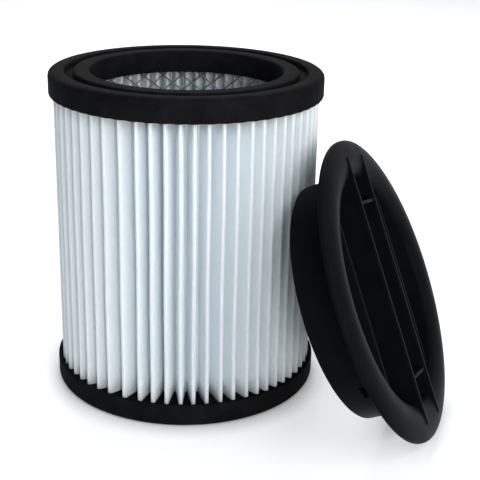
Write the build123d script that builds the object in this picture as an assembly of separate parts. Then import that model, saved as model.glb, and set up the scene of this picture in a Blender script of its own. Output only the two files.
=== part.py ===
"""Pleated cartridge filter for a wet and dry vacuum cleaner, with its closing cap taken off.

The filter stands upright on its bottom end cap: a ring of folded fleece around a tube of
expanded metal, with a moulded ring on each end. The closing cap leans against the pleats.
Millimetres, +Z up, origin on the filter's axis at the bottom end face.
"""
from build123d import *
import os
from math import cos, hypot, pi, radians, sin, sqrt

# Overall sizes of the filter
FILTER_HEIGHT = 155.0
PLEAT_TIP_RADIUS = 63.0
HOLE_RADIUS = 45.5

# Folded fleece
PLEAT_COUNT = 60
FLEECE_THICKNESS = 0.6
TIP_FOLD_RADIUS = 0.9
ROOT_LAND = 1.7

# Tube of expanded metal behind the fleece
TUBE_WALL = 0.8
GAPS_AROUND = 12
GAP_ROWS = 10
STRAND_WIDTH = 2.2
TUBE_BORDER = 4.0

# Moulded end caps, the same ring on both ends
CAP_HEIGHT = 11.0
CAP_LIP = 1.8
SEAT_CLEARANCE = 0.2
TROUGH_DEPTH = 0.8
FACE_EDGE_ROUND = 2.4
LIP_EDGE_BREAK = 0.6
HOLE_EDGE_BREAK = 0.8
GROOVE_WIDTH = 4.2
GROOVE_DEPTH = 3.0
GROOVE_EDGE_BREAK = 0.6

# Closing cap
LID_FIT = 0.3
LID_WALL = 2.2
COLLAR_WALL = 2.0
COLLAR_DEPTH = 22.7
FLANGE_WIDTH = 15.5
CROWN_RISE = 2.6
WELL_DEPTH = 17.0
MOUTH_EDGE_ROUND = 3.0
RIM_EDGE_BREAK = 0.5
COLLAR_ROOT_ROUND = 1.8
RIB_WALL = 1.6
RIB_SPACING = 21.8
RIB_INSET = 7.4
RIB_PROUD = 0.5
SIDE_RIB_DROP = 2.2
WEB_SPACING = 82.0
WEB_DROP = 0.6
SLOT_LENGTH = 8.0
SLOT_HEIGHT = 3.0
SLOT_SETBACK = 12.3
SLOT_ANGLE = 132.8

# How the closing cap leans on the filter
LID_LEAN = 24.0
LID_YAW = -18.1
LID_ROLL = -12.8
LID_SIDE_OFFSET = -17.1
LEAN_CLEARANCE = 0.3

# Radii that follow from the sizes above, from the hole outwards
TUBE_INNER_RADIUS = HOLE_RADIUS + CAP_LIP + SEAT_CLEARANCE
TUBE_SIDES = 2 * GAPS_AROUND
TUBE_OUTER_RADIUS = (TUBE_INNER_RADIUS + TUBE_WALL) / cos(pi / TUBE_SIDES)
PLEAT_ROOT_RADIUS = TUBE_OUTER_RADIUS + SEAT_CLEARANCE
CAP_RADIUS = PLEAT_TIP_RADIUS + SEAT_CLEARANCE + CAP_LIP
GROOVE_RADIUS = (HOLE_RADIUS + CAP_RADIUS) / 2
GROOVE_INNER_RADIUS = GROOVE_RADIUS - GROOVE_WIDTH / 2

# Heights that follow
SEAT_HEIGHT = CAP_HEIGHT - TROUGH_DEPTH
INSERT_HEIGHT = FILTER_HEIGHT - 2 * SEAT_HEIGHT

# Closing cap sizes that follow: its collar seats over the inner wall of an end cap's groove
COLLAR_INNER_RADIUS = GROOVE_INNER_RADIUS + LID_FIT
COLLAR_OUTER_RADIUS = COLLAR_INNER_RADIUS + COLLAR_WALL
RIM_RADIUS = COLLAR_OUTER_RADIUS + FLANGE_WIDTH
CROWN_RADIUS = (RIM_RADIUS + COLLAR_INNER_RADIUS) / 2
RIB_TOP = CROWN_RISE + RIB_PROUD


def pleat_outline(tip_top, half_tip, root, half_root, rounded):
    """One face of the folded fleece: tips and roots joined by straight flanks, all the way round."""
    step = 360 / PLEAT_COUNT
    shoulder = PLEAT_TIP_RADIUS - TIP_FOLD_RADIUS
    edges = []
    for pleat in range(PLEAT_COUNT):
        turn = step * pleat
        tip_start = Vector(shoulder, -half_tip).rotate(Axis.Z, turn)
        top = Vector(tip_top, 0).rotate(Axis.Z, turn)
        tip_end = Vector(shoulder, half_tip).rotate(Axis.Z, turn)
        root_start = Vector(root, -half_root).rotate(Axis.Z, turn + step / 2)
        root_end = Vector(root, half_root).rotate(Axis.Z, turn + step / 2)
        next_tip = tip_start.rotate(Axis.Z, step)
        if rounded:
            edges.append(ThreePointArc(tip_start, top, tip_end))
        else:
            edges += [Line(tip_start, top), Line(top, tip_end)]
        edges += [Line(tip_end, root_start), Line(root_start, root_end), Line(root_end, next_tip)]
    return Wire(edges)


def pleated_media():
    """Fleece folded into a closed ring: round tips outside, creased inside, seated in both end caps."""
    thickness = FLEECE_THICKNESS
    outside = pleat_outline(PLEAT_TIP_RADIUS, TIP_FOLD_RADIUS, PLEAT_ROOT_RADIUS + thickness,
                            ROOT_LAND / 2 - thickness, rounded=True)
    inside = pleat_outline(PLEAT_TIP_RADIUS - thickness, TIP_FOLD_RADIUS - thickness, PLEAT_ROOT_RADIUS,
                           ROOT_LAND / 2, rounded=False)
    section = Pos(0, 0, SEAT_HEIGHT) * Face(outside, [inside])
    return Part() + extrude(section, INSERT_HEIGHT, dir=(0, 0, 1))


def support_tube():
    """Expanded metal rolled to a tube: straight strands round staggered diamond gaps."""
    outer = RegularPolygon(TUBE_OUTER_RADIUS, TUBE_SIDES)
    inner = RegularPolygon(TUBE_INNER_RADIUS, TUBE_SIDES, major_radius=False)
    tube = extrude(outer - inner, INSERT_HEIGHT)
    half_wide = TUBE_OUTER_RADIUS * sin(pi / GAPS_AROUND)
    half_tall = (INSERT_HEIGHT - 2 * TUBE_BORDER) / (GAP_ROWS + 1)
    shrink = 1 - STRAND_WIDTH / 2 * hypot(half_wide, half_tall) / (half_wide * half_tall)
    gap_wide = half_wide * shrink
    gap_tall = half_tall * shrink
    diamond = Polygon((gap_wide, 0), (0, gap_tall), (-gap_wide, 0), (0, -gap_tall), align=None)
    outward = Plane(origin=(TUBE_INNER_RADIUS / 2, 0, 0), x_dir=(0, 1, 0), z_dir=(1, 0, 0))
    punch = extrude(outward * diamond, TUBE_OUTER_RADIUS)
    pitch = 360 / GAPS_AROUND
    punches = []
    for row in range(GAP_ROWS):
        height = TUBE_BORDER + half_tall * (row + 1)
        for place in range(GAPS_AROUND):
            turn = pitch * (place + 0.5 * (row % 2))
            punches.append(Pos(0, 0, height) * Rot(0, 0, turn) * punch)
    return Pos(0, 0, SEAT_HEIGHT) * (tube - punches)


def ring_section(inner, outer, low, high):
    """Rectangle in the XZ half plane, to be revolved into a ring."""
    corner = (Align.MIN, Align.MIN)
    return Plane.XZ * (Pos(inner, low) * Rectangle(outer - inner, high - low, align=corner))


def corners_at(section, radius, height):
    """The section's corners at one radius and height."""
    return [v for v in section.vertices() if abs(v.X - radius) < 1e-4 and abs(v.Z - height) < 1e-4]


def end_cap():
    """Moulded ring with its end face down: sealing groove below, trough for the insert above."""
    trough_inner = TUBE_INNER_RADIUS - SEAT_CLEARANCE
    trough_outer = PLEAT_TIP_RADIUS + SEAT_CLEARANCE
    section = ring_section(HOLE_RADIUS, CAP_RADIUS, 0, CAP_HEIGHT)
    section -= ring_section(trough_inner, trough_outer, SEAT_HEIGHT, CAP_HEIGHT)
    groove_outer = GROOVE_INNER_RADIUS + GROOVE_WIDTH
    section -= ring_section(GROOVE_INNER_RADIUS, groove_outer, 0, GROOVE_DEPTH)
    section = fillet(corners_at(section, CAP_RADIUS, 0), FACE_EDGE_ROUND)
    section = chamfer(corners_at(section, CAP_RADIUS, CAP_HEIGHT), LIP_EDGE_BREAK)
    section = chamfer(corners_at(section, HOLE_RADIUS, 0), HOLE_EDGE_BREAK)
    for radius in (GROOVE_INNER_RADIUS, groove_outer):
        section = chamfer(corners_at(section, radius, 0), GROOVE_EDGE_BREAK)
    return revolve(section, Axis.Z)


def bottom_end_cap():
    return end_cap()


def top_end_cap():
    return Pos(0, 0, FILTER_HEIGHT) * Rot(180, 0, 0) * end_cap()


def crown_arc(drop):
    """Bell mouth of the closing cap from its rim over the crown to the well, in the XZ half plane."""
    return ThreePointArc((RIM_RADIUS, 0, -drop), (CROWN_RADIUS, 0, CROWN_RISE - drop),
                         (COLLAR_INNER_RADIUS, 0, -drop))


def below_crown(inner, outer, drop):
    """Everything below the bell mouth between two radii, as a section to revolve."""
    far_below = -2 * COLLAR_DEPTH
    arc = crown_arc(drop)
    edges = [arc, Line(arc @ 1, (COLLAR_INNER_RADIUS, 0, far_below)),
             Line((COLLAR_INNER_RADIUS, 0, far_below), (RIM_RADIUS, 0, far_below)),
             Line((RIM_RADIUS, 0, far_below), arc @ 0)]
    return make_face(edges) & ring_section(inner, outer, far_below, RIB_TOP)


def lid_shell():
    """Turned form of the closing cap: bell mouth, collar round the well, and the floor that closes it."""
    front = crown_arc(0)
    back = crown_arc(LID_WALL)
    flange = make_face([front, Line(front @ 1, back @ 1), back, Line(back @ 0, front @ 0)])
    collar = below_crown(COLLAR_INNER_RADIUS, COLLAR_OUTER_RADIUS, LID_WALL / 2)
    collar &= ring_section(0, RIM_RADIUS, -COLLAR_DEPTH, CROWN_RISE)
    wall_middle = (COLLAR_INNER_RADIUS + COLLAR_OUTER_RADIUS) / 2
    floor = ring_section(0, wall_middle, -WELL_DEPTH - LID_WALL, -WELL_DEPTH)
    section = flange + collar + floor
    section = fillet(corners_at(section, COLLAR_INNER_RADIUS, 0), MOUTH_EDGE_ROUND)
    outside = [v for v in section.vertices() if abs(v.X - COLLAR_OUTER_RADIUS) < 1e-4]
    section = fillet([v for v in outside if v.Z > -COLLAR_DEPTH / 2], COLLAR_ROOT_ROUND)
    for height in (0, -LID_WALL):
        section = chamfer(corners_at(section, RIM_RADIUS, height), RIM_EDGE_BREAK)
    return revolve(section, Axis.Z)


def grip_ribs():
    """Four parallel ribs across the well: two tall ones tied by webs to pull on, two lower ones beside."""
    reach = sqrt((RIM_RADIUS - RIB_INSET) ** 2 - (RIB_SPACING / 2) ** 2)
    seat = -WELL_DEPTH - LID_WALL / 2
    upright = (Align.CENTER, Align.CENTER, Align.MIN)
    ribs = Part()
    for side in (-1, 1):
        rib = Box(2 * reach, RIB_WALL, RIB_TOP - seat, align=upright)
        ribs += Pos(0, side * RIB_SPACING / 2, seat) * rib
        low_rib = Box(2 * reach, RIB_WALL, -SIDE_RIB_DROP - seat, align=upright)
        ribs += Pos(0, side * 3 * RIB_SPACING / 2, seat) * low_rib
    for end in (-1, 1):
        web = Box(RIB_WALL, RIB_SPACING, RIB_TOP - WEB_DROP - seat, align=upright)
        ribs += Pos(end * WEB_SPACING / 2, 0, seat) * web
    wall_middle = (COLLAR_INNER_RADIUS + COLLAR_OUTER_RADIUS) / 2
    ribs -= revolve(below_crown(wall_middle, RIM_RADIUS, LID_WALL / 2), Axis.Z)
    room = below_crown(CROWN_RADIUS, RIM_RADIUS, -RIB_PROUD) + ring_section(0, CROWN_RADIUS, seat, RIB_TOP)
    return ribs & revolve(room, Axis.Z)


def collar_slot():
    """Small window through the collar near its end."""
    window = Box(2 * LID_WALL + 2 * COLLAR_WALL, SLOT_LENGTH, SLOT_HEIGHT)
    middle = (COLLAR_INNER_RADIUS + COLLAR_OUTER_RADIUS) / 2
    return Rot(0, 0, SLOT_ANGLE) * Pos(middle, 0, SLOT_SETBACK - COLLAR_DEPTH) * window


def lid_place():
    """Where the cap leans with the end of its collar against the pleat tips, before it is set down.

    Seen from above, the collar's end is an ellipse whose near side curves like a circle of
    radius collar / sin(lean), so the contact is that of two circles.
    """
    lean = radians(LID_LEAN)
    yaw = radians(LID_YAW)
    near_curve = COLLAR_OUTER_RADIUS / sin(lean)
    apart = PLEAT_TIP_RADIUS + LEAN_CLEARANCE + near_curve
    collar_out = sqrt(apart ** 2 - LID_SIDE_OFFSET ** 2) - near_curve + COLLAR_OUTER_RADIUS * sin(lean)
    rim_out = collar_out + COLLAR_DEPTH * cos(lean)
    outward = Vector(cos(yaw), sin(yaw), 0)
    sideways = Vector(-sin(yaw), cos(yaw), 0)
    front = outward * cos(lean) + Vector(0, 0, sin(lean))
    centre = outward * rim_out + sideways * LID_SIDE_OFFSET
    return Plane(origin=centre, x_dir=front.cross(sideways), z_dir=front).location


def closing_cap():
    lid = lid_shell() + grip_ribs() - collar_slot()
    leaning = lid_place() * Rot(0, 0, LID_ROLL) * lid
    return Pos(0, 0, -leaning.bounding_box().min.Z) * leaning


PIECES = {
    "pleated_media": pleated_media,
    "support_tube": support_tube,
    "top_end_cap": top_end_cap,
    "bottom_end_cap": bottom_end_cap,
    "closing_cap": closing_cap,
}

os.makedirs("parts", exist_ok=True)
for name, make in PIECES.items():
    export_step(make(), os.path.join("parts", name + ".step"))
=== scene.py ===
# %% [markdown]
# # Pleated filter of a wet and dry vacuum cleaner, with its closing cap
# A ring of folded white fleece stands between two black moulded rings. Behind the fleece is a
# tube of expanded metal, which keeps the air stream from pressing the folds in. The black cap
# that closes the filter has been taken off and leans against the pleats.
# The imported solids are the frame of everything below: each piece is drawn in millimetres at the
# place where its solid is, then scaled to metres, so nothing has to be fitted afterwards.

# %% Load the frame
import random
from math import acos, atan2, cos, hypot, pi, radians, sin, sqrt

import bmesh
import bpy
from mathutils import Matrix, Vector


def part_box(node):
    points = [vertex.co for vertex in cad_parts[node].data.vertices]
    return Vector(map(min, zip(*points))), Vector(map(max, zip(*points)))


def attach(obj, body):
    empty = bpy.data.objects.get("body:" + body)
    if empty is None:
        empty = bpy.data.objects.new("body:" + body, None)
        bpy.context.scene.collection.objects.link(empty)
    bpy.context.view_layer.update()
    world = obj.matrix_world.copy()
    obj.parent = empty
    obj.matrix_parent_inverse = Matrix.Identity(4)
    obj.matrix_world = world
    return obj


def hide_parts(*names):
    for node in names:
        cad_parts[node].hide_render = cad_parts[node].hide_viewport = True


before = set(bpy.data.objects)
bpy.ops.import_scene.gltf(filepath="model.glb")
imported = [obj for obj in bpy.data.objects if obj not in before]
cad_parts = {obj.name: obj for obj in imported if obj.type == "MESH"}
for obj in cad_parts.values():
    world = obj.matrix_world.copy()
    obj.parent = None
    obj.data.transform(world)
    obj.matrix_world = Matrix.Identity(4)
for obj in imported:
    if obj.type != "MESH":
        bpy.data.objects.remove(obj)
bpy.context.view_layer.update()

print("solids:", ", ".join(sorted(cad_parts)))

# %% [markdown]
# ## The camera
# The picture was taken from a little above the filter, close enough for the pleats to lean
# together towards the floor. A camera can be turned by trial until things look alike, or placed
# from the outlines of the two end caps. Here their ellipses gave the place, the tilt and the
# slight roll, so the lens is a plain one with no shift.

# %% Camera at the viewing angle
CAMERA_PLACE = (0.02679, -0.4995, 0.25499)
LOOKING_DOWN = 0.356
CAMERA_ROLL = 0.022
LENS = 79.98
NEAR_CLIP = 0.01

lens = bpy.data.cameras.new("camera")
lens.lens = LENS
lens.clip_start = NEAR_CLIP
camera = bpy.data.objects.new("camera", lens)
bpy.context.scene.collection.objects.link(camera)
tilt = Matrix.Rotation(pi / 2 - LOOKING_DOWN, 4, "X")
roll = Matrix.Rotation(CAMERA_ROLL, 4, "Z")
camera.matrix_world = Matrix.Translation(CAMERA_PLACE) @ tilt @ roll
bpy.context.scene.camera = camera
bpy.context.scene.view_settings.view_transform = "Standard"
print("camera at", CAMERA_PLACE)

# %% [markdown]
# ## Sizes that the pieces share
# The fleece, the tube and the caps all sit inside one another, so they share their radii. They
# are written once, in millimetres, as they are on the object, from the hole outwards.

# %% Shared sizes
MM = 0.001
FILTER_HEIGHT = 155.0
HOLE_RADIUS = 45.5
CAP_RADIUS = 65.0
CAP_HEIGHT = 11.0
SEAT_HEIGHT = 10.2
PLEAT_TIP = 63.0
PLEAT_ROOT = 48.92
TUBE_RADIUS = 48.0
UP = (0, 0, 1)
CENTRE = (0, 0, 0)
print("insert height", FILTER_HEIGHT - 2 * SEAT_HEIGHT, "mm")

# %% [markdown]
# ## From a bmesh to a piece
# Every piece ends the same way. Its mesh is scaled from millimetres to metres, smooth shading is
# put on with the true corners kept sharp, the solid it stands for is hidden, and the piece is
# given the body it moves with and its finish.


# %% Helper that finishes a piece
def finish_piece(bm, name, finish, node, sharp):
    """Turns the bmesh into the visible piece that stands for one solid; sharp is in degrees."""
    bmesh.ops.scale(bm, vec=(MM, MM, MM), verts=bm.verts)
    mesh = bpy.data.meshes.new(name)
    bm.to_mesh(mesh)
    bm.free()
    mesh.shade_smooth()
    mesh.set_sharp_from_angle(angle=radians(sharp))
    mesh.materials.append(finish)
    piece = bpy.data.objects.new(name, mesh)
    bpy.context.scene.collection.objects.link(piece)
    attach(piece, "root")
    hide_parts(node)
    print(name, len(mesh.polygons), "faces")
    return piece


# %% [markdown]
# ## Helpers for the finishes
# A finish is a Principled shader whose colour, roughness and relief come from noise in the
# piece's own coordinates. Noise is chosen over painted maps because it needs no unwrapping and
# stays sharp however near the camera comes.


# %% Helpers for materials
def new_finish(name):
    """A material with its Principled shader and the piece's own coordinates."""
    finish = bpy.data.materials.new(name)
    finish.use_nodes = True
    tree = finish.node_tree
    shader = tree.nodes["Principled BSDF"]
    coords = tree.nodes.new("ShaderNodeTexCoord").outputs["Object"]
    return finish, tree, shader, coords


def add_noise(tree, coords, scale, detail=2.0, stretch=(1, 1, 1)):
    """Noise value at a scale given in features per metre, stretched along the axes if asked."""
    mapping = tree.nodes.new("ShaderNodeMapping")
    mapping.inputs["Scale"].default_value = stretch
    noise = tree.nodes.new("ShaderNodeTexNoise")
    noise.inputs["Scale"].default_value = scale
    noise.inputs["Detail"].default_value = detail
    tree.links.new(coords, mapping.inputs["Vector"])
    tree.links.new(mapping.outputs["Vector"], noise.inputs["Vector"])
    return noise.outputs["Fac"]


def add_ramp(tree, value, low, high, at=(0.35, 0.65)):
    """Colour ramp between two greys or colours over a part of the noise's range."""
    ramp = tree.nodes.new("ShaderNodeValToRGB")
    for stop, place, colour in zip(ramp.color_ramp.elements, at, (low, high)):
        stop.position = place
        stop.color = (*colour, 1) if hasattr(colour, "__len__") else (colour, colour, colour, 1)
    tree.links.new(value, ramp.inputs["Fac"])
    return ramp.outputs["Color"]


def add_bump(tree, value, depth, before=None):
    """Relief of a depth in metres, laid over an earlier relief if there is one."""
    bump = tree.nodes.new("ShaderNodeBump")
    bump.inputs["Distance"].default_value = depth
    tree.links.new(value, bump.inputs["Height"])
    if before:
        tree.links.new(before, bump.inputs["Normal"])
    return bump.outputs["Normal"]


def dress(tree, shader, colour, roughness, relief):
    """Links the colour, roughness and relief of a finish to its shader."""
    tree.links.new(colour, shader.inputs["Base Color"])
    tree.links.new(roughness, shader.inputs["Roughness"])
    tree.links.new(relief, shader.inputs["Normal"])


# %% [markdown]
# ## Fleece finish
# Filter fleece is a felt of fine polyester fibres: cool white, matt, faintly mottled where the
# fibres lie thicker. A weave texture would be wrong, because nothing is woven. Two noises make
# it, one for the clouds in the felt and one, drawn out along the height, for the fibres. A short
# way under the surface stands for the light that passes between the fibres, and a sheen for the
# loose fibres that catch it on a flank seen from its edge.

# %% Fleece
fleece, tree, shader, coords = new_finish("fleece")
clouds = add_noise(tree, coords, scale=420, detail=4)
fibres = add_noise(tree, coords, scale=2600, detail=3, stretch=(1, 1, 0.45))
colour = add_ramp(tree, clouds, low=(0.84, 0.905, 0.95), high=(0.875, 0.93, 0.965))
roughness = add_ramp(tree, fibres, low=0.82, high=0.98)
cloud_relief = add_bump(tree, clouds, depth=0.00006)
dress(tree, shader, colour, roughness, add_bump(tree, fibres, depth=0.00012, before=cloud_relief))
shader.inputs["Specular IOR Level"].default_value = 0.1
shader.inputs["Subsurface Weight"].default_value = 1.0
shader.inputs["Subsurface Radius"].default_value = (1.0, 1.0, 1.0)
shader.inputs["Subsurface Scale"].default_value = 0.0008
shader.inputs["Sheen Weight"].default_value = 1.0
shader.inputs["Sheen Roughness"].default_value = 0.8
shader.inputs["Sheen Tint"].default_value = (0.9, 0.96, 1.0, 1)
print("finish:", fleece.name)

# %% [markdown]
# ## Pleated fleece
# The fleece is one long strip, folded to and fro and closed to a ring. Half a fold is drawn as
# a line: round the tip, down the straight flank, round the root. Mirrored it is a whole pleat,
# and turned round the axis it is the ring. Drawing it once keeps all the folds exactly alike,
# and the small faults that real folds have are put in afterwards.

# %% Sizes of one fold
PLEAT_COUNT = 60
FLEECE_THICKNESS = 0.6
TIP_BEND = 0.6
ROOT_BEND = 0.55
HALF_STEP = pi / PLEAT_COUNT

tip_centre = Vector((PLEAT_TIP - FLEECE_THICKNESS / 2 - TIP_BEND, 0, 0))
root_reach = PLEAT_ROOT + FLEECE_THICKNESS / 2 + ROOT_BEND
root_centre = Vector((root_reach * cos(HALF_STEP), root_reach * sin(HALF_STEP), 0))
between = root_centre - tip_centre
flank_turn = atan2(between.y, between.x) - acos((TIP_BEND + ROOT_BEND) / between.length)
flank_normal = Vector((cos(flank_turn), sin(flank_turn), 0))
root_turn = flank_turn - HALF_STEP
flank_length = sqrt(between.length ** 2 - (TIP_BEND + ROOT_BEND) ** 2)

# %% Draw half a fold and turn it into the ring
TIP_STEPS = 5
ROOT_STEPS = 4
FLANK_CUTS = 3
WELD = 0.01


def points_of(geom):
    """The points among the things that an operator gives back."""
    return [v for v in geom if isinstance(v, bmesh.types.BMVert)]


def whole(bm):
    """All points, edges and faces of a bmesh."""
    return bm.verts[:] + bm.edges[:] + bm.faces[:]


bm = bmesh.new()
tip = bm.verts.new((PLEAT_TIP - FLEECE_THICKNESS / 2, 0, SEAT_HEIGHT))
arc = bmesh.ops.spin(bm, geom=[tip], cent=tip_centre, axis=UP, angle=flank_turn, steps=TIP_STEPS)
flank_end = bmesh.ops.extrude_vert_indiv(bm, verts=points_of(arc["geom_last"]))["verts"][0]
flank_end.co = root_centre - ROOT_BEND * flank_normal + Vector((0, 0, SEAT_HEIGHT))
bmesh.ops.spin(bm, geom=[flank_end], cent=root_centre, axis=UP, angle=-root_turn,
               steps=ROOT_STEPS)
flank = [e for e in bm.edges if e.calc_length() > flank_length / 2]
bmesh.ops.subdivide_edges(bm, edges=flank, cuts=FLANK_CUTS)
bmesh.ops.mirror(bm, geom=whole(bm), matrix=Matrix(), merge_dist=WELD, axis="Y")
bmesh.ops.spin(bm, geom=whole(bm), cent=CENTRE, axis=UP,
               angle=2 * pi - 2 * HALF_STEP, steps=PLEAT_COUNT - 1, use_duplicate=True)
bmesh.ops.remove_doubles(bm, verts=bm.verts, dist=WELD)
print("points round the ring", len(bm.verts))

# %% Draw the ring up to its height
HEIGHT_CUTS = 15
fleece_height = FILTER_HEIGHT - 2 * SEAT_HEIGHT

raised = bmesh.ops.extrude_edge_only(bm, edges=bm.edges[:])
bmesh.ops.translate(bm, vec=(0, 0, fleece_height), verts=points_of(raised["geom"]))
upright = [e for e in bm.edges if abs(e.verts[0].co.z - e.verts[1].co.z) > WELD]
bmesh.ops.subdivide_edges(bm, edges=upright, cuts=HEIGHT_CUTS, use_grid_fill=True)
bmesh.ops.recalc_face_normals(bm, faces=bm.faces)
print("faces of the sheet", len(bm.faces))

# %% [markdown]
# Folds made by a machine still lean: the strip is bent to a ring by hand, so groups of pleats
# lie over to one side or the other, and each tip stands a little differently. The points are
# moved sideways in proportion to their distance from the tube, so the roots stay where they are.

# %% Lean and small faults of the folds
LEAN_ROUND_THE_RING = [
    (-180, -1.2), (-62, -3.0), (-40, -3.4), (-30, -2.5), (-18, 0.9), (-6, 0.8),
    (12, 0.1), (30, 0.1), (60, -2.0), (120, -1.5), (181, -1.2),
]
FRONT = -90
TIP_JITTER = 0.2
TIP_SINK = 0.25
WAVE = 0.12
WAVES_UP = 1.5
FAULT_SEED = 7


def lean_at(place):
    """Lean of a fold in degrees, at a place in degrees round the ring from its front."""
    stretches = zip(LEAN_ROUND_THE_RING, LEAN_ROUND_THE_RING[1:])
    for (start, lean), (end, next_lean) in stretches:
        if start <= place < end:
            return lean + (next_lean - lean) * (place - start) / (end - start)


dice = random.Random(FAULT_SEED)
faults = [(dice.uniform(-1, 1), dice.uniform(0, 1), dice.uniform(0, 2 * pi))
          for _ in range(PLEAT_COUNT)]
for vert in bm.verts:
    reach = hypot(vert.co.x, vert.co.y)
    turn = atan2(vert.co.y, vert.co.x)
    share = (reach - PLEAT_ROOT) / (PLEAT_TIP - PLEAT_ROOT)
    pleat = round(turn / (2 * HALF_STEP)) % PLEAT_COUNT
    aside, sink, phase = faults[pleat]
    place = (360 * pleat / PLEAT_COUNT - FRONT + 180) % 360 - 180
    wave = WAVE / PLEAT_TIP * sin(2 * pi * vert.co.z / fleece_height * WAVES_UP + phase)
    turn += share * (radians(lean_at(place) + TIP_JITTER * aside) + wave)
    reach -= share * TIP_SINK * sink
    vert.co.x = reach * cos(turn)
    vert.co.y = reach * sin(turn)
print("pleats set", PLEAT_COUNT)

pleats = finish_piece(bm, "pleated_fleece", fleece, "pleated_media", sharp=60)
wall = pleats.modifiers.new("thickness", "SOLIDIFY")
wall.thickness = FLEECE_THICKNESS * MM
wall.offset = 0

# %% [markdown]
# ## Expanded metal tube
# Expanded metal is sheet steel, slit and pulled open to diamonds, then rolled to a tube and
# galvanised to a dull grey. Its grey is drawn darker than bare zinc, which is painted shade for
# strands that stand dark against the lit fleece behind them. A lattice of round wires would look
# woven. Here one diamond is set on the tube, copied round and up like the slits are, and the
# edges of all the diamonds become the strands.

# %% Galvanised finish
zinc, tree, shader, coords = new_finish("galvanised_metal")
spangle = add_noise(tree, coords, scale=700, detail=3)
# Both greys are darker than bare zinc: partly the metal's own grey, partly painted shade on the
# strands.
colour = add_ramp(tree, spangle, low=(0.15, 0.16, 0.17), high=(0.26, 0.27, 0.29))
roughness = add_ramp(tree, spangle, low=0.42, high=0.60)
dress(tree, shader, colour, roughness, add_bump(tree, spangle, depth=0.00008))
shader.inputs["Metallic"].default_value = 0.8
print("finish:", zinc.name)

# %% Diamonds round and up the tube
DIAMONDS_ROUND = 30
DIAMOND_HALF_HEIGHT = 4.0
STRAND = 0.7
CORNER_WELD = 0.3

bm = bmesh.new()
half_angle = pi / DIAMONDS_ROUND
half_width = TUBE_RADIUS * sin(half_angle)
bmesh.ops.create_circle(bm, cap_ends=True, radius=1, segments=4)
stand = Matrix(((0, 0, 1, TUBE_RADIUS), (half_width, 0, 0, 0),
                (0, DIAMOND_HALF_HEIGHT, 0, 0), (0, 0, 0, 1)))
bmesh.ops.transform(bm, matrix=stand, verts=bm.verts)
bmesh.ops.spin(bm, geom=whole(bm), cent=CENTRE, axis=UP,
               angle=2 * pi - 2 * half_angle, steps=DIAMONDS_ROUND - 1, use_duplicate=True)
first_row = whole(bm)
rows = int(fleece_height / DIAMOND_HALF_HEIGHT) + 2
for row in range(1, rows):
    corners = points_of(bmesh.ops.duplicate(bm, geom=first_row)["geom"])
    turn = Matrix.Rotation(half_angle * (row % 2), 3, "Z")
    bmesh.ops.rotate(bm, cent=CENTRE, matrix=turn, verts=corners)
    bmesh.ops.translate(bm, vec=(0, 0, row * DIAMOND_HALF_HEIGHT), verts=corners)
bmesh.ops.translate(bm, vec=(0, 0, SEAT_HEIGHT), verts=bm.verts)
for vert in bm.verts:
    stretch = TUBE_RADIUS / hypot(vert.co.x, vert.co.y)
    vert.co.x *= stretch
    vert.co.y *= stretch
bmesh.ops.remove_doubles(bm, verts=bm.verts, dist=CORNER_WELD)
print("diamonds", len(bm.faces))

# %% Trim the tube and make its strands
tube_low = SEAT_HEIGHT + STRAND
tube_high = FILTER_HEIGHT - SEAT_HEIGHT - STRAND
for height, outward in ((tube_low, -1), (tube_high, 1)):
    bmesh.ops.bisect_plane(bm, geom=whole(bm), plane_co=(0, 0, height),
                           plane_no=(0, 0, outward), clear_outer=True)
bmesh.ops.recalc_face_normals(bm, faces=bm.faces)
bmesh.ops.wireframe(bm, faces=bm.faces[:], thickness=STRAND, offset=0, use_replace=True,
                    use_boundary=True, use_even_offset=True)
finish_piece(bm, "metal_tube", zinc, "support_tube", sharp=30)

# %% [markdown]
# ## Rubber finish
# The rings are cast in a black elastic compound round the ends of the pleats. It is matt, with
# tiny pores and faint paler patches. One plain black would look like a hole in the picture, so
# one noise makes the patches and a finer one the pores.

# %% Cast rubber
rubber, tree, shader, coords = new_finish("cast_rubber")
patches = add_noise(tree, coords, scale=120, detail=4)
pores = add_noise(tree, coords, scale=2200)
colour = add_ramp(tree, patches, low=(0.0066, 0.0067, 0.0074), high=(0.0108, 0.0107, 0.0114))
roughness = add_ramp(tree, pores, low=0.55, high=0.85)
dress(tree, shader, colour, roughness, add_bump(tree, pores, depth=0.00012))
shader.inputs["Specular IOR Level"].default_value = 0.008
print("finish:", rubber.name)

# %% [markdown]
# ## End rings
# Each ring is a turned form: a flat end face with a groove for the seal, a well rounded outer
# edge, and a shallow trough in which the pleats stand. The section is drawn once as a flat face,
# its corners are rounded with a vertex bevel, and its outline is spun round the axis. Rounding
# the section is quicker and cleaner than bevelling hundreds of edges of the finished ring.

# %% Section of a ring
TROUGH_INNER = 47.3
TROUGH_OUTER = 63.2
GROOVE_INNER = 53.15
GROOVE_OUTER = 57.35
GROOVE_DEPTH = 3.0
RING_OUTLINE = [
    (HOLE_RADIUS, 0, 1.0), (GROOVE_INNER, 0, 0.7), (GROOVE_INNER, GROOVE_DEPTH, 0.6),
    (GROOVE_OUTER, GROOVE_DEPTH, 0.6), (GROOVE_OUTER, 0, 0.7), (CAP_RADIUS, 0, 2.4),
    (CAP_RADIUS, CAP_HEIGHT, 0.8), (TROUGH_OUTER, CAP_HEIGHT, 0.5),
    (TROUGH_OUTER, SEAT_HEIGHT, 0.2), (TROUGH_INNER, SEAT_HEIGHT, 0.2),
    (TROUGH_INNER, CAP_HEIGHT, 0.4), (HOLE_RADIUS, CAP_HEIGHT, 0.8),
]
CORNER_SEGMENTS = 4


def round_corner(bm, corner, rounding):
    """Rounds one corner of a flat section."""
    bmesh.ops.bevel(bm, geom=[corner], offset=rounding, offset_type="OFFSET", affect="VERTICES",
                    segments=CORNER_SEGMENTS, profile=0.5, material=-1)


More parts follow.
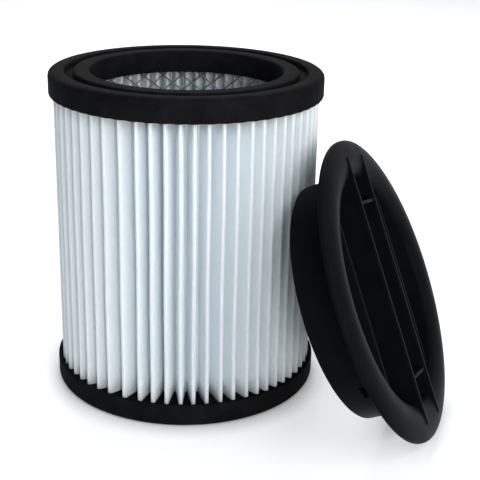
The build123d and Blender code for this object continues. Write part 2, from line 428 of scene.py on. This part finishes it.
def rounded_section(bm, outline):
    """Flat face in the XZ plane from corners given as radius, height and rounding."""
    verts = [bm.verts.new((radius, 0, height)) for radius, height, _ in outline]
    bm.faces.new(verts)
    for vert, (_, _, rounding) in zip(verts, outline):
        round_corner(bm, vert, rounding)


print("corners of the section", len(RING_OUTLINE))

# %% Spin the section to a ring
RING_STEPS = 384
SCALLOP = 0.22
LIP_FOOT = SEAT_HEIGHT - 0.2
SEAM_WELD = 0.001


def make_ring(name, node, upside_down):
    """One end ring. Its lip is drawn in a little between the pleats, as cast compound is."""
    bm = bmesh.new()
    rounded_section(bm, RING_OUTLINE)
    bmesh.ops.delete(bm, geom=bm.faces[:], context="FACES_ONLY")
    bmesh.ops.spin(bm, geom=whole(bm), cent=CENTRE, axis=UP, angle=2 * pi,
                   steps=RING_STEPS, use_merge=True)
    bmesh.ops.remove_doubles(bm, verts=bm.verts, dist=SEAM_WELD)
    for vert in bm.verts:
        reach = hypot(vert.co.x, vert.co.y)
        if reach > TROUGH_OUTER - WELD and vert.co.z > LIP_FOOT:
            turn = atan2(vert.co.y, vert.co.x)
            vert.co.z -= SCALLOP * (0.5 - 0.5 * cos(PLEAT_COUNT * turn))
    if upside_down:
        bmesh.ops.rotate(bm, cent=CENTRE, matrix=Matrix.Rotation(pi, 3, "X"), verts=bm.verts)
        bmesh.ops.translate(bm, vec=(0, 0, FILTER_HEIGHT), verts=bm.verts)
    bmesh.ops.recalc_face_normals(bm, faces=bm.faces)
    return finish_piece(bm, name, rubber, node, sharp=50)


make_ring("bottom_ring", "bottom_end_cap", False)
make_ring("top_ring", "top_end_cap", True)

# %% [markdown]
# ## Plastic finish
# The closing cap is moulded in black plastic with a satin surface and a very fine grain. A haze
# of slow noise changes its blackness and gloss a little, as handling does. The gloss is kept low,
# because in white surroundings a glossy black turns grey on every edge.

# %% Satin plastic
plastic, tree, shader, coords = new_finish("satin_plastic")
haze = add_noise(tree, coords, scale=90, detail=3)
grain = add_noise(tree, coords, scale=3200)
colour = add_ramp(tree, haze, low=(0.0044, 0.0046, 0.0055), high=(0.0056, 0.0059, 0.0070))
roughness = add_ramp(tree, haze, low=0.34, high=0.42)
dress(tree, shader, colour, roughness, add_bump(tree, grain, depth=0.00004))
shader.inputs["Specular IOR Level"].default_value = 0.012
print("finish:", plastic.name)

# %% [markdown]
# ## Closing cap: the turned shell
# The cap is a shallow cup with a bell mouth: a broad flange rises from the rim to a low crown and
# rolls into a round well with a flat floor. The wall of the well runs on behind the floor as the
# collar that seats in an end ring. That is a turned form too, so its section is drawn with
# straight lines and arcs, and spun. The arcs are made by spinning one point round their centre.

# %% Section of the cap
RIM_RADIUS = 70.95
COLLAR_OUTER = 55.45
COLLAR_INNER = 53.45
COLLAR_END = -22.7
FLOOR = -17.0
LID_WALL = 2.2
CROWN_RISE = 2.6
MOUTH_ROUND = 3.0
CROWN_RADIUS = (RIM_RADIUS + COLLAR_INNER) / 2
crown_half = (RIM_RADIUS - COLLAR_INNER) / 2
crown_bend = (crown_half ** 2 + CROWN_RISE ** 2) / (2 * CROWN_RISE)
crown_centre = CROWN_RISE - crown_bend
mouth_radius = COLLAR_INNER + MOUTH_ROUND
mouth_drop = (crown_bend - MOUTH_ROUND) ** 2 - (CROWN_RADIUS - mouth_radius) ** 2
mouth_height = crown_centre + sqrt(mouth_drop)
mouth_turn = atan2(mouth_height - crown_centre, mouth_radius - CROWN_RADIUS)


def crown_height(radius, drop=0.0):
    """Height of the bell mouth at a radius, or of the same curve a little below it."""
    return crown_centre - drop + sqrt(crown_bend ** 2 - (radius - CROWN_RADIUS) ** 2)


def crown_turn(radius):
    """Direction from the centre of the crown's arc to its point at a radius."""
    return atan2(crown_height(radius) - crown_centre, radius - CROWN_RADIUS)


def draw_arc(bm, start, centre, start_turn, end_turn, steps):
    """Points on from a point round a centre given as radius and height, up to the last one."""
    arc = bmesh.ops.spin(bm, geom=[start], cent=(centre[0], 0, centre[1]), axis=(0, 1, 0),
                         angle=start_turn - end_turn, steps=steps)
    return points_of(arc["geom_last"])[0]


def draw_line(bm, start, *points):
    """Straight lines on from a point through others given as radius and height."""
    for radius, height in points:
        grown = bmesh.ops.extrude_vert_indiv(bm, verts=[start])["verts"][0]
        grown.co = (radius, 0, height)
        start = grown
    return start


print("crown bend", round(crown_bend, 2), "mm")

# %% Draw the section
MOUTH_STEPS = 6
CROWN_STEPS = 16
BACK_STEPS = 12
SLOT_LOW = -11.9
SLOT_HIGH = -8.9

bm = bmesh.new()
floor_top = bm.verts.new((0, 0, FLOOR))
mouth_low = draw_line(bm, floor_top, (COLLAR_INNER, FLOOR), (COLLAR_INNER, SLOT_LOW),
                      (COLLAR_INNER, SLOT_HIGH), (COLLAR_INNER, mouth_height))
mouth_top = draw_arc(bm, mouth_low, (mouth_radius, mouth_height), pi, mouth_turn, MOUTH_STEPS)
rim_top = draw_arc(bm, mouth_top, (CROWN_RADIUS, crown_centre), mouth_turn,
                   crown_turn(RIM_RADIUS), CROWN_STEPS)
rim_low = draw_line(bm, rim_top, (RIM_RADIUS, -LID_WALL))
collar_root = draw_arc(bm, rim_low, (CROWN_RADIUS, crown_centre - LID_WALL),
                       crown_turn(RIM_RADIUS), crown_turn(COLLAR_OUTER), BACK_STEPS)
floor_low = draw_line(bm, collar_root, (COLLAR_OUTER, SLOT_HIGH), (COLLAR_OUTER, SLOT_LOW),
                      (COLLAR_OUTER, COLLAR_END), (COLLAR_INNER, COLLAR_END),
                      (COLLAR_INNER, FLOOR - LID_WALL), (0, FLOOR - LID_WALL))
bm.edges.new((floor_low, floor_top))
bmesh.ops.contextual_create(bm, geom=bm.edges[:])
print("points of the section", len(bm.verts))

# %% Round and spin the section
LID_STEPS = 180
LID_ROUNDING = [
    (COLLAR_INNER, FLOOR, 1.5), (RIM_RADIUS, 0, 0.7), (RIM_RADIUS, -LID_WALL, 0.7),
    (COLLAR_OUTER, crown_height(COLLAR_OUTER, LID_WALL), 1.2), (COLLAR_OUTER, COLLAR_END, 0.5),
    (COLLAR_INNER, COLLAR_END, 0.5), (COLLAR_INNER, FLOOR - LID_WALL, 0.8),
]
for radius, height, rounding in LID_ROUNDING:
    corner = [v for v in bm.verts if hypot(v.co.x - radius, v.co.z - height) < WELD]
    round_corner(bm, corner[0], rounding)
axis_edges = [e for e in bm.edges if e.verts[0].co.x < WELD and e.verts[1].co.x < WELD]
bmesh.ops.delete(bm, geom=bm.faces[:], context="FACES_ONLY")
bmesh.ops.delete(bm, geom=axis_edges, context="EDGES")
bmesh.ops.spin(bm, geom=whole(bm), cent=CENTRE, axis=UP, angle=2 * pi, steps=LID_STEPS,
               use_merge=True)
bmesh.ops.remove_doubles(bm, verts=bm.verts, dist=SEAM_WELD)
bmesh.ops.recalc_face_normals(bm, faces=bm.faces)
print("faces of the shell", len(bm.faces))

# %% [markdown]
# A small window goes through the collar. Cutting it with a boolean would work, but the section
# already has points at the window's two heights, so its faces are simply taken out of both walls
# and the two openings are bridged.

# %% Window in the collar
SLOT_TURN = radians(132.8)
SLOT_HALF = radians(4)

window = []
for face in bm.faces:
    middle = face.calc_center_median()
    turn = atan2(middle.y, middle.x)
    if SLOT_LOW < middle.z < SLOT_HIGH and abs(turn - SLOT_TURN) < SLOT_HALF:
        window.append(face)
bmesh.ops.delete(bm, geom=window, context="FACES_ONLY")
bmesh.ops.delete(bm, geom=[e for e in bm.edges if not e.link_faces], context="EDGES")
openings = [e for e in bm.edges if len(e.link_faces) == 1]
bmesh.ops.bridge_loops(bm, edges=openings)
print("window faces taken out", len(window))

# %% [markdown]
# ## Closing cap: grip ribs
# Four thin parallel ribs cross the well. The middle two run out over the flange and are tied by
# two short webs, so that a hand can pull on them; the outer two stay below the mouth. A rib is
# drawn as a flat outline, given its width, and its edges are broken with a bevel, because a
# moulded rib never has a knife edge.

# %% Ribs and webs
RIB_WALL = 1.6
RIB_SPACING = 21.8
RIB_END = 62.6
RIB_PROUD = 0.5
RIB_SHIFT = 0.95
SIDE_RIB_DROP = 2.2
SIDE_RIB_REACH = 43.5
WEB_SPACING = 82.0
WEB_DROP = 0.6
RIB_FOOT = FLOOR - LID_WALL / 2
RIB_UNDERSIDE = [(57.0, 0.9), (54.2, -0.9), (53.3, -3.0), (53.3, RIB_FOOT), (0, RIB_FOOT)]
RIB_END_STEPS = 4
RIB_EDGE = 0.4
RIB_EDGE_SEGMENTS = 3
RIB_CORNER = radians(60)
rib_top = CROWN_RISE + RIB_PROUD


def add_rib(bm, across):
    """One tall rib along X at a distance across the well: its ends lie on the crown."""
    rib = bmesh.new()
    top = rib.verts.new((0, 0, rib_top))
    crown = draw_line(rib, top, (CROWN_RADIUS - RIB_SHIFT, rib_top))
    end = draw_arc(rib, crown, (CROWN_RADIUS - RIB_SHIFT, crown_centre + RIB_PROUD), pi / 2,
                   crown_turn(RIB_END + RIB_SHIFT), RIB_END_STEPS)
    end_low = (RIB_END, crown_height(RIB_END + RIB_SHIFT, LID_WALL / 2))
    foot = draw_line(rib, end, end_low, *RIB_UNDERSIDE)
    rib.edges.new((foot, top))
    bmesh.ops.contextual_create(rib, geom=rib.edges[:])
    bmesh.ops.mirror(rib, geom=whole(rib), matrix=Matrix(), merge_dist=WELD, axis="X")
    seam = [e for e in rib.edges if len(e.link_faces) == 2]
    bmesh.ops.dissolve_edges(rib, edges=seam, use_verts=True)
    side = bmesh.ops.extrude_face_region(rib, geom=rib.faces[:])["geom"]
    bmesh.ops.translate(rib, vec=(0, RIB_WALL, 0), verts=points_of(side))
    bmesh.ops.translate(rib, vec=(0, across - RIB_WALL / 2, 0), verts=rib.verts)
    soften(rib)
    join(bm, rib)


def add_bar(bm, length, width, top, place):
    """A straight low rib or web that stands on the floor of the well."""
    bar = bmesh.new()
    bmesh.ops.create_cube(bar, size=1)
    bmesh.ops.scale(bar, vec=(length, width, top - RIB_FOOT), verts=bar.verts)
    bmesh.ops.translate(bar, vec=(*place, (top + RIB_FOOT) / 2), verts=bar.verts)
    soften(bar)
    join(bm, bar)


def soften(rib):
    """Breaks the sharp edges of a rib or web."""
    bmesh.ops.recalc_face_normals(rib, faces=rib.faces)
    edges = [e for e in rib.edges if len(e.link_faces) == 2 and e.calc_face_angle() > RIB_CORNER]
    bmesh.ops.bevel(rib, geom=edges, offset=RIB_EDGE, offset_type="OFFSET", affect="EDGES",
                    segments=RIB_EDGE_SEGMENTS, profile=0.5, material=-1)


def join(bm, part):
    """Puts a finished part into the cap's bmesh."""
    mesh = bpy.data.meshes.new("part")
    part.to_mesh(mesh)
    part.free()
    bm.from_mesh(mesh)
    bpy.data.meshes.remove(mesh)


for side in (-1, 1):
    add_rib(bm, side * RIB_SPACING / 2)
    add_bar(bm, 2 * SIDE_RIB_REACH, RIB_WALL, -SIDE_RIB_DROP, (0, side * 1.5 * RIB_SPACING))
for end in (-1, 1):
    add_bar(bm, RIB_WALL, RIB_SPACING, rib_top - WEB_DROP, (end * WEB_SPACING / 2, 0))
print("faces of the cap", len(bm.faces))

# %% [markdown]
# ## Closing cap: leaning on the filter
# The cap stands on its rim and leans with the end of its collar on the pleats. It is turned with
# three plain angles, and then moved so that its box lies on the box of its solid, which already
# stands where it should.

# %% Turn and place the cap
LID_LEAN = radians(24.0)
LID_YAW = radians(-18.1)
LID_ROLL = radians(-12.8)

outward = Vector((cos(LID_YAW), sin(LID_YAW), 0))
sideways = Vector((-sin(LID_YAW), cos(LID_YAW), 0))
front = outward * cos(LID_LEAN) + Vector(UP) * sin(LID_LEAN)
turned = Matrix((front.cross(sideways), front.cross(front.cross(sideways)), front)).transposed()
turned = turned @ Matrix.Rotation(LID_ROLL, 3, "Z")
bmesh.ops.rotate(bm, cent=CENTRE, matrix=turned, verts=bm.verts)
low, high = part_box("closing_cap")
for axis in range(3):
    places = [v.co[axis] for v in bm.verts]
    shift = Vector((0, 0, 0))
    shift[axis] = (low[axis] + high[axis]) / 2 / MM - (min(places) + max(places)) / 2
    bmesh.ops.translate(bm, vec=shift, verts=bm.verts)
finish_piece(bm, "closing_lid", plastic, "closing_cap", sharp=40)

# %% [markdown]
# ## Floor and light
# The filter stands on a white table in soft light. The floor is a pale matt sheet, lifted to
# white only where the camera, a mirror or a glass would see it, and not where something stands
# close over it, so that it still takes the shadows of the object. The room gives a soft cool
# light, one broad lamp from the right and above models the folds, a small one near the camera
# reaches into them, and one behind keeps the far side from going dull.

# %% Floor
FLOOR_SIZE = 6.0
FLOOR_LIFT = 0.5
CONTACT_REACH = 0.012


def seen_directly(tree):
    """One where the camera, a mirror or a glass looks, zero for the light that falls on things."""
    path = tree.nodes.new("ShaderNodeLightPath")
    seen = path.outputs["Is Camera Ray"]
    for ray in ("Is Glossy Ray", "Is Transmission Ray"):
        either = tree.nodes.new("ShaderNodeMath")
        either.operation = "MAXIMUM"
        tree.links.new(seen, either.inputs[0])
        tree.links.new(path.outputs[ray], either.inputs[1])
        seen = either.outputs[0]
    return seen


paper, tree, shader, coords = new_finish("white_table")
mottle = add_noise(tree, coords, scale=30)
tree.links.new(add_ramp(tree, mottle, low=0.86, high=0.88), shader.inputs["Base Color"])
shader.inputs["Roughness"].default_value = 0.9
shader.inputs["Specular IOR Level"].default_value = 0.1
shader.inputs["Emission Color"].default_value = (1, 1, 1, 1)
lift = tree.nodes.new("ShaderNodeMath")
lift.operation = "MULTIPLY"
lift.inputs[1].default_value = FLOOR_LIFT
contact = tree.nodes.new("ShaderNodeAmbientOcclusion")
contact.inputs["Distance"].default_value = CONTACT_REACH
open_floor = tree.nodes.new("ShaderNodeMath")
open_floor.operation = "MULTIPLY"
tree.links.new(seen_directly(tree), open_floor.inputs[0])
tree.links.new(contact.outputs["AO"], open_floor.inputs[1])
tree.links.new(open_floor.outputs[0], lift.inputs[0])
tree.links.new(lift.outputs[0], shader.inputs["Emission Strength"])

bm = bmesh.new()
bmesh.ops.create_grid(bm, x_segments=4, y_segments=4, size=FLOOR_SIZE / 2)
table_mesh = bpy.data.meshes.new("table")
bm.to_mesh(table_mesh)
bm.free()
table_mesh.materials.append(paper)
table = bpy.data.objects.new("table", table_mesh)
bpy.context.scene.collection.objects.link(table)
print("table", FLOOR_SIZE, "m wide")

# %% Room light
ROOM_LIGHT = 0.30
COOL_WHITE = (0.78, 0.895, 1.0, 1)

room = bpy.data.worlds.new("white_room")
room.use_nodes = True
tree = room.node_tree
tree.nodes.clear()
fill = tree.nodes.new("ShaderNodeBackground")
fill.inputs["Color"].default_value = COOL_WHITE
fill.inputs["Strength"].default_value = ROOM_LIGHT
white = tree.nodes.new("ShaderNodeBackground")
white.inputs["Color"].default_value = (1, 1, 1, 1)
white.inputs["Strength"].default_value = 1.0
either = tree.nodes.new("ShaderNodeMixShader")
output = tree.nodes.new("ShaderNodeOutputWorld")
tree.links.new(seen_directly(tree), either.inputs[0])
tree.links.new(fill.outputs[0], either.inputs[1])
tree.links.new(white.outputs[0], either.inputs[2])
tree.links.new(either.outputs[0], output.inputs["Surface"])
bpy.context.scene.world = room
print("room light", ROOM_LIGHT)

# %% Soft lamps
LAMP_AIM = Vector((0.02, 0, 0.07))


def hang_lamp(name, place, size, power):
    """A square soft lamp that looks at the filter."""
    softbox = bpy.data.lights.new(name, "AREA")
    softbox.size = size
    softbox.energy = power
    lamp = bpy.data.objects.new(name, softbox)
    bpy.context.scene.collection.objects.link(lamp)
    aim = (LAMP_AIM - Vector(place)).to_track_quat("-Z", "Y").to_matrix().to_4x4()
    lamp.matrix_world = Matrix.Translation(place) @ aim
    print(name, power, "W")


hang_lamp("window_lamp", place=(0.80, -0.76, 0.72), size=1.1, power=8.5)
hang_lamp("front_lamp", place=(0.26, -1.27, 0.33), size=0.35, power=6.0)
hang_lamp("back_lamp", place=(-0.1, 0.95, 1.0), size=0.6, power=8.0)
